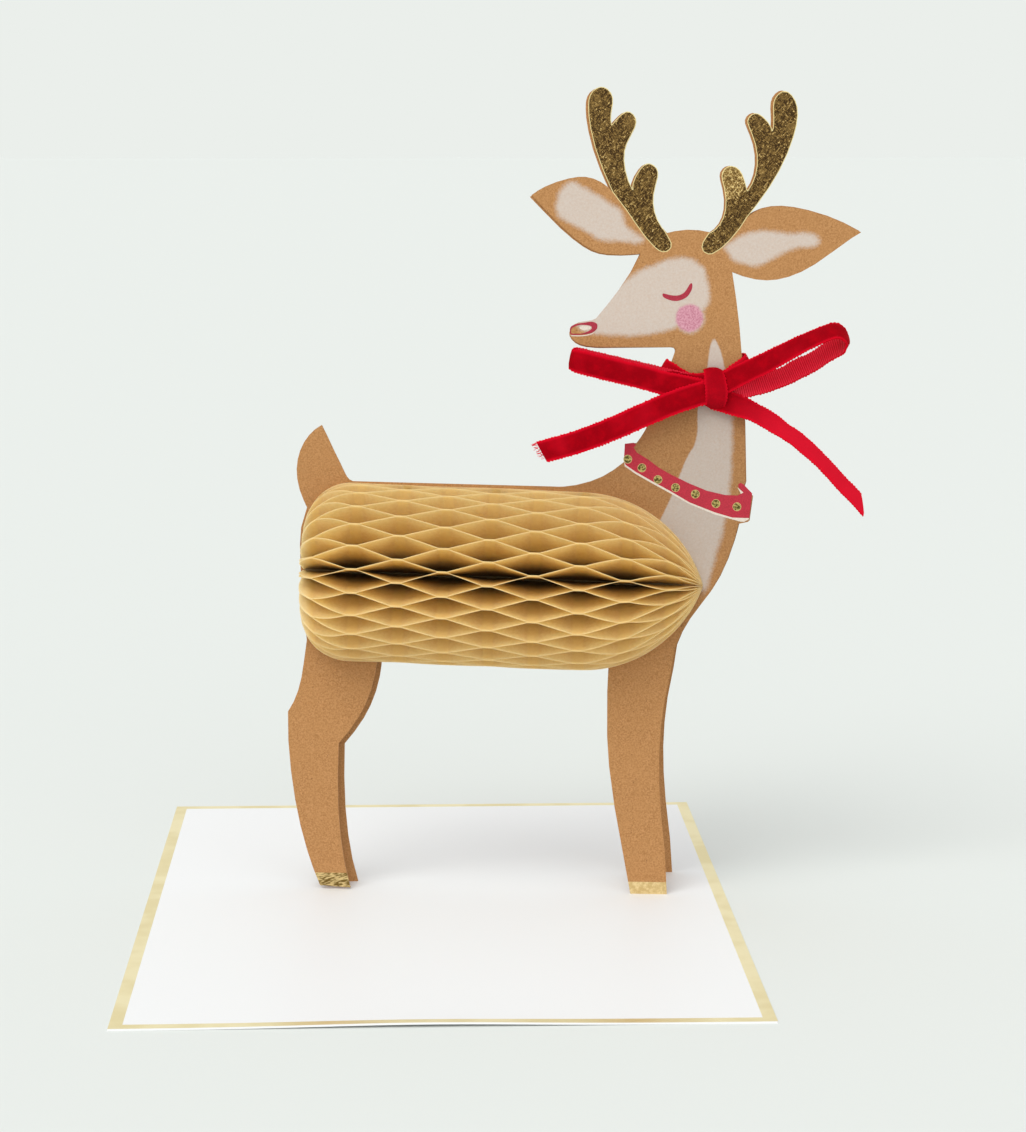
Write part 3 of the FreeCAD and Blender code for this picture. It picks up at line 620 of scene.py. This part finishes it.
# Ribbon: a 6 mm velvet ribbon with a satin back, passed round both boards at
# the neck and tied in a bow. Its ends are cut with scissors, and the left one frays.
RIBBON_WIDE, RIBBON_THICK, SELVEDGE = 6.0, 0.5, 0.14
TOOTH, TOOTH_DEEP, RIB_PITCH = 0.85, 0.38, 0.55
STATION_STEPS, STRAP_STEP, CUT_REACH, NIP_LONG, PILE_UNEVEN = 24, 0.21, 7.0, 1.6, 0.02
FRONT, REAR, NECK_RADIUS = -0.6, 2.0, 1.3


def half_turn(middle, radius, rise, across, side):
    """Stations of a bend that carries the ribbon from one layer to the other."""
    tilt = across[0] / across[2]
    stations = []
    for quarter in range(-2, 3):
        turned = math.radians(45 * quarter)
        out = side * radius * math.cos(turned)
        stations.append(((middle[0] + out, middle[1] + radius * math.sin(turned),
                          middle[2] + rise * (quarter + 2) / 4 - tilt * out), across))
    return stations


NECK_BAND = [((59.3, FRONT - 0.1, 136.2), (-0.5, 0, 1)), ((63.6, FRONT - 0.1, 139.4), (-0.6, 0, 1)),
             *half_turn((66.85, 0.7, 141.8), NECK_RADIUS, 1.4, (-0.4, 0, 1), 1),
             ((63.0, REAR, 143.6), (0, 0, 1)), ((57.0, REAR + 0.1, 142.8), (0, 0, 1)),
             ((51.2, REAR, 141.6), (0.1, 0, 1)),
             *half_turn((46.4, 0.7, 141.0), NECK_RADIUS, 0.0, (0.45, 0, 1), -1)[::-1],
             ((51.2, FRONT - 0.3, 138.2), (0.5, 0, 1)), ((56.8, FRONT - 0.9, 137.9), (0.05, 0, 1))]
LEFT_LOOP = [(place, (0.17, 0.08, 0.98)) for place in (
    (59.4, -2.3, 135.4), (54.7, -2.5, 136.3), (50.4, -2.8, 137.2), (45.2, -3.2, 138.2),
    (39.9, -3.6, 139.6), (34.6, -3.9, 140.9), (29.3, -4.0, 142.1), (25.3, -3.9, 143.1),
    *(place for place, _ in half_turn((22.4, -2.4, 143.8), 1.4, 0.6, (0.17, 0, 1), -1)),
    (28.2, -0.9, 143.0), (36.3, -1.0, 141.2), (44.2, -1.2, 139.4), (53.0, -1.3, 137.6),
    (59.0, -1.3, 136.6))]
RIGHT_LOOP = [((59.0, -2.3, 136.6), (-0.35, 0, 1)), ((62.8, -2.7, 138.8), (-0.32, 0.3, 0.85)),
              ((67.4, -3.3, 141.2), (-0.38, 0.40, 0.84)), ((72.6, -3.9, 143.7), (-0.41, 0.48, 0.78)),
              ((77.6, -4.3, 146.4), (-0.39, 0.60, 0.70)), ((82.0, -4.5, 148.7), (-0.35, 0.68, 0.64)),
              ((86.8, -4.5, 150.9), (-0.26, 0.73, 0.62)), ((90.3, -4.1, 152.1), (-0.01, 0.73, 0.68)),
              ((92.4, -3.5, 151.5), (0.16, 0.85, 0.49)), ((93.6, -2.8, 150.0), (0.16, 0.95, 0.26)),
              ((93.9, -2.2, 148.7), (0.14, 0.98, 0.12)), ((93.0, -1.5, 148.0), (-0.03, 0.85, 0.50)),
              ((91.6, -1.0, 147.9), (-0.20, 0.66, 0.72)), ((88.6, -0.6, 146.4), (-0.24, 0.58, 0.77)),
              ((85.1, -0.4, 144.0), (-0.30, 0.60, 0.74)), ((81.2, -0.3, 142.1), (-0.34, 0.50, 0.79)),
              ((77.3, -0.3, 140.0), (-0.31, 0.60, 0.74)), ((73.2, -0.5, 138.7), (-0.31, 0.45, 0.80)),
              ((68.7, -0.9, 137.6), (-0.27, 0.25, 0.90)), ((64.7, -1.3, 136.9), (-0.22, 0.05, 1)),
              ((59.6, -1.4, 135.4), (-0.2, 0, 1))]
LEFT_TAIL = [((59.4, -2.9, 136.6), (-0.3, 0, 1)), ((55.7, -3.2, 135.5), (-0.3, 0, 1)),
             ((51.9, -3.7, 134.3), (-0.34, 0.05, 0.94)), ((48.5, -4.0, 133.1), (-0.40, 0.08, 0.91)),
             ((44.5, -4.2, 131.5), (-0.44, 0.05, 0.90)), ((39.3, -4.2, 129.2), (-0.43, 0.05, 0.90)),
             ((34.0, -4.1, 126.8), (-0.44, 0.1, 0.89)), ((28.6, -4.0, 124.5), (-0.40, 0.2, 0.89)),
             ((23.0, -3.9, 122.4), (-0.31, 0.25, 0.90)), ((17.7, -3.7, 120.8), (-0.31, 0.3, 0.89)),
             ((12.6, -3.4, 119.4), (-0.27, 0.32, 0.91))]
RIGHT_TAIL = [((58.8, -1.9, 134.2), (0.35, 0, 1)), ((63.0, -2.1, 132.9), (0.36, 0.1, 0.9)),
              ((66.0, -2.2, 131.9), (0.42, 0.35, 0.85)), ((69.1, -2.1, 130.6), (0.44, 0.60, 0.66)),
              ((72.4, -2.1, 128.9), (0.44, 0.62, 0.64)), ((75.3, -2.1, 127.1), (0.44, 0.68, 0.59)),
              ((77.5, -2.1, 125.6), (0.36, 0.77, 0.53)), ((80.3, -2.1, 123.8), (0.40, 0.76, 0.51)),
              ((83.6, -2.1, 121.1), (0.44, 0.77, 0.47)), ((87.1, -2.2, 117.9), (0.44, 0.81, 0.38)),
              ((90.1, -2.4, 114.8), (0.42, 0.81, 0.40)), ((93.1, -2.6, 111.5), (0.40, 0.81, 0.43)),
              ((96.4, -2.8, 108.2), (0.42, 0.81, 0.40)), ((99.7, -3.1, 104.4), (0.40, 0.85, 0.34))]
KNOT = [((u, v, w), (1, 0, -0.04)) for u, v, w in (
    (58.5, -0.8, 140.6), (58.6, -1.6, 141.3), (58.8, -2.6, 140.9), (59.1, -3.4, 139.2),
    (59.5, -3.8, 136.6), (59.5, -3.6, 134.3), (59.3, -2.8, 132.8), (59.2, -1.7, 132.3),
    (59.2, -0.8, 133.0))]

# Cut pile: deep crimson, with painted sheen: patches, stretches of the straps and the edges are
# painted brighter red where the pile would catch the light at a slant. The pile is drawn coarser
# than real so that it shows.
velvet, shader = finish("crimson_velvet")
across = add(velvet, "SeparateXYZ", [add(velvet, "UVMap", uv_map="ribbon_mm")], 1)
to_middle = add(velvet, "Math", [across], operation="ABSOLUTE")
place = add(velvet, "TexCoord", out="Object")
pile = add(velvet, "TexNoise", {"Vector": place, "Scale": 1 / (0.18 * MM), "Roughness": 0.6})
tone = tinted(velvet, rgb("#8E000D"), rgb("#A0000F"), mottled(velvet, place, 2.2, 0.35, 0.75))
tips = add(velvet, "MapRange", [pile, 0.5, 0.8], interpolation_type="SMOOTHSTEP")
tone = tinted(velvet, tone, rgb("#C80420"), tips, 0.3)
# Painted sheen: soft patches painted brighter red.
sheen_patches = mottled(velvet, place, 9.0, 0.45, 0.75, 1.0)
tone = tinted(velvet, tone, rgb("#CC0C22"), sheen_patches, 0.35)
# Painted sheen: stretches of the straps painted brighter red.
painted_sheen = add(velvet, "Attribute", out="Fac", attribute_name="painted_sheen")
tone = tinted(velvet, tone, rgb("#E01830"), painted_sheen, 0.7)
# Painted sheen: the ribbon's edges painted brighter red.
edge_sheen = add(velvet, "MapRange", [to_middle, 2.2, 3.0], interpolation_type="SMOOTHSTEP")
tone = tinted(velvet, tone, rgb("#DC0824"), edge_sheen, 0.7)
give(velvet, shader, Base_Color=tone, Roughness=0.9, Specular_IOR_Level=0.04, Sheen_Weight=0.35,
     Sheen_Roughness=0.3, Sheen_Tint=rgb("#FF1028"),
     Normal=add(velvet, "Bump", {"Height": pile, "Distance": 0.06 * MM, "Strength": 1.0}))

# Woven satin back: brighter, with a soft gloss and fine ribs across it, which
# are drawn coarser than real so that they show.
satin, shader = finish("crimson_satin_back")
along = add(satin, "SeparateXYZ", [add(satin, "UVMap", uv_map="ribbon_mm")], 0)
turns = add(satin, "Math", [along, math.tau / RIB_PITCH], operation="MULTIPLY")
ribs = add(satin, "Math", [turns], operation="SINE")
# Painted highlight: the rib tops are painted a lighter red than the grooves between them.
rib_highlights = add(satin, "MapRange", [ribs, -0.8, 0.9], interpolation_type="SMOOTHSTEP")
give(satin, shader, Base_Color=tinted(satin, rgb("#CC0A22"), rgb("#EE2C46"), rib_highlights),
     Roughness=0.5, Specular_IOR_Level=0.12,
     Normal=add(satin, "Bump", {"Height": ribs, "Distance": 0.03 * MM, "Strength": 1.0}))


def strap(name, stations, pile_side, cut=0.0, wide=RIBBON_WIDE, pinch=0.0, round_over=0.28,
          nip=0.0, painted_sheen=None, seed=1):
    """Ribbon through the stations, each a place and the direction across, with the pile outwards on
    one side. Its far end is cut askew by cut, pinch narrows its ends and nip its middle, and a
    painted sheen, brighter red where the pile would catch the light, changes from none to full
    between two distances along it."""
    scatter = random.Random(seed)
    line = smooth([place for place, _ in stations], STATION_STEPS)
    turns = smooth([across for _, across in stations], STATION_STEPS)
    walked = [0.0]
    for a, b in zip(line, line[1:]):
        walked.append(walked[-1] + (b - a).length)
    count = max(12, int(walked[-1] / STRAP_STEP))
    lanes = [-1.0, -0.94, -0.8, -0.5, -0.2, 0.2, 0.5, 0.8, 0.94, 1.0]
    bpy.ops.mesh.primitive_grid_add(x_subdivisions=count - 1, y_subdivisions=len(lanes) - 1)
    piece = bpy.context.object
    piece.name = name
    teeth = int(walked[-1] / TOOTH) + 4
    scallop = [[scatter.uniform(0.4, 1.0) for _ in range(teeth)] for _ in range(2)]
    places = []
    for lane in lanes:
        for k in range(count):
            at = walked[-1] * k / (count - 1)
            near_end = max(0.0, 1 - (walked[-1] - at) / CUT_REACH)
            at -= abs(cut) * (1 + lane * math.copysign(1, cut)) / 2 * near_end
            low = max(0, min(int(np.searchsorted(walked, at)) - 1, len(line) - 2))
            share = (at - walked[low]) / (walked[low + 1] - walked[low])
            middle = line[low].lerp(line[low + 1], share)
            across = turns[low].lerp(turns[low + 1], share).normalized()
            ahead = (line[low + 1] - line[low]).normalized()
            outward = pile_side * ahead.cross(across).normalized()
            tooth = scallop[0 if lane < 0 else 1][int(at / TOOTH)] * TOOTH_DEEP * abs(
                math.sin(math.pi * at / TOOTH))
            drawn_in = 1 - pinch * abs(2 * at / walked[-1] - 1) ** 2
            drawn_in -= nip * math.exp(-((at - walked[-1] * 0.5) / NIP_LONG) ** 2)
            half = drawn_in * (wide / 2 - SELVEDGE) + (tooth if abs(lane) > 0.9 else 0.0)
            crown = RIBBON_THICK / 2 + round_over * (1 - abs(lane) ** 3)
            crown += scatter.uniform(-PILE_UNEVEN, PILE_UNEVEN)
            places.append((middle + across * lane * half + outward * crown, (at, lane * wide / 2)))
    for vertex, (place, _) in zip(piece.data.vertices, places):
        vertex.co = FIGURE @ (place * MM)
    if painted_sheen:
        over = piece.data.attributes.new("painted_sheen", "FLOAT", "POINT")
        for number, (_, (at, _)) in enumerate(places):
            over.data[number].value = min(max((at - painted_sheen[0]) / (painted_sheen[1] - painted_sheen[0]), 0), 1)
    layer = piece.data.uv_layers.new(name="ribbon_mm")
    for loop in piece.data.loops:
        layer.data[loop.index].uv = places[loop.vertex_index][1]
    piece.data.update()
    at_face = line[len(line) // 2]
    outward = pile_side * (line[len(line) // 2 + 1] - at_face).cross(turns[len(line) // 2])
    wanted = FIGURE.to_3x3() @ outward
    bpy.ops.object.mode_set(mode="EDIT")
    bpy.ops.mesh.select_all(action="SELECT")
    turned_over = piece.data.polygons[len(piece.data.polygons) // 2].normal.dot(wanted) < 0
    if turned_over:
        bpy.ops.mesh.flip_normals()
    bpy.ops.object.mode_set(mode="OBJECT")
    piece.data.materials.append(velvet)
    piece.data.materials.append(satin)
    thicken = piece.modifiers.new("cloth", "SOLIDIFY")
    thicken.thickness = RIBBON_THICK * MM
    thicken.offset = -1.0
    thicken.material_offset = 1
    bpy.ops.object.modifier_apply(modifier=thicken.name)
    bpy.ops.object.shade_smooth_by_angle(angle=math.radians(60))
    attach(piece, "root")
    return piece


strap("ribbon_neck_band", NECK_BAND, 1, painted_sheen=(14, 4), seed=2)
strap("ribbon_left_loop", LEFT_LOOP, -1, wide=6.2, nip=0.16, seed=3)
strap("ribbon_right_loop", RIGHT_LOOP, 1, seed=4)
strap("ribbon_left_tail", LEFT_TAIL, -1, cut=-1.4, wide=6.3, seed=5)
strap("ribbon_right_tail", RIGHT_TAIL, 1, cut=4.5, painted_sheen=(3, 20), seed=6)
knot = strap("ribbon_knot", KNOT, 1, wide=5.9, pinch=0.22, round_over=0.8, painted_sheen=(-4, 60),
             seed=8)
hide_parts("ribbon_bow")

# Loose threads of the back along the left tail's cut end.
CUT_TOP, CUT_BOTTOM = Vector((11.2, -3.6, 121.8)), Vector((13.9, -3.3, 117.3))
THREADS, THREAD_RADIUS = 26, 0.06
frayed = random.Random(9)
threads = []
for _ in range(THREADS):
    root = CUT_TOP.lerp(CUT_BOTTOM, frayed.uniform(0, 1))
    bpy.ops.mesh.primitive_cylinder_add(vertices=6, radius=THREAD_RADIUS * MM,
                                        depth=frayed.uniform(0.8, 2.0) * MM)
    thread = bpy.context.object
    leaning = Vector((-1, frayed.uniform(-0.3, 0.3), frayed.uniform(-0.9, 0.5)))
    thread.data.transform(FIGURE @ Matrix.Translation(root * MM)
                          @ leaning.to_track_quat("Z", "Y").to_matrix().to_4x4())
    thread.matrix_world = Matrix()
    threads.append(thread)
bpy.ops.object.select_all(action="DESELECT")
for thread in threads:
    thread.select_set(True)
bpy.context.view_layer.objects.active = threads[0]
bpy.ops.object.join()
fringe = bpy.context.object
fringe.name = "ribbon_frayed_end"
fringe.data.materials.append(satin)
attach(fringe, "root")

# The crossed layers under the knot, as one rounded block.
CORE_SIZE, CORE_MIDDLE, CORE_ROUND = (4.6, 1.9, 8.0), (59.3, -1.5, 136.5), 0.8
bpy.ops.mesh.primitive_cube_add(size=1)
core = bpy.context.object
core.name = "ribbon_knot_core"
bpy.ops.object.mode_set(mode="EDIT")
bpy.ops.mesh.select_all(action="SELECT")
bpy.ops.transform.resize(value=CORE_SIZE)
bpy.ops.transform.translate(value=CORE_MIDDLE)
bpy.ops.mesh.bevel(offset=CORE_ROUND, segments=4, affect="EDGES")
bpy.ops.object.mode_set(mode="OBJECT")
core.data.transform(FIGURE @ Matrix.Scale(MM, 4))
core.data.uv_layers.new(name="ribbon_mm")
core.data.materials.append(velvet)
bpy.ops.object.shade_smooth()
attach(core, "root")


# Floor, light and camera: a pale table in soft daylight from the left front,
# seen at the photograph's angle.
PALE = rgb("#EBEFEB")
bpy.ops.mesh.primitive_plane_add(size=24)
floor = bpy.context.object
floor.name = "floor"
table, shader = finish("pale_table")
give(table, shader, Base_Color=rgb("#E1E4E0"), Roughness=0.9, Specular_IOR_Level=0.1)
floor.data.materials.append(table)

world = bpy.data.worlds.new("daylight")
bpy.context.scene.world = world
world.use_nodes = True
sky = world.node_tree.nodes["Background"]
give(world, sky, Color=rgb("#FAFDFF"), Strength=0.76)
plain = add(world, "Background", {"Color": PALE, "Strength": 1.0})
seen = add(world, "LightPath", out="Is Camera Ray")
for kind in ("Is Glossy Ray", "Is Transmission Ray"):
    seen = add(world, "Math", [seen, add(world, "LightPath", out=kind)], operation="MAXIMUM")
choose = add(world, "MixShader", [seen, sky.outputs[0], plain])
world.node_tree.links.new(choose, world.node_tree.nodes["World Output"].inputs[0])

for name, turned, power, spread, tint in (("window", (40, 0, -35), 1.35, 40, "#FFFEFA"),
                                          ("front", (74, 0, 12), 0.55, 60, "#FFFEFC")):
    bpy.ops.object.light_add(type="SUN", rotation=[math.radians(a) for a in turned])
    sun = bpy.context.object
    sun.name = name
    sun.data.energy = power
    sun.data.angle = math.radians(spread)
    sun.data.color = rgb(tint)[:3]

bpy.ops.object.camera_add(location=(-0.0098, -0.7829, 0.2109),
                          rotation=[math.radians(a) for a in (81.3, 0.0, -2.2)])
camera = bpy.context.object
camera.name = "photo_camera"
camera.data.lens = 95.4
bpy.context.scene.camera = camera
bpy.context.scene.view_settings.view_transform = "Standard"
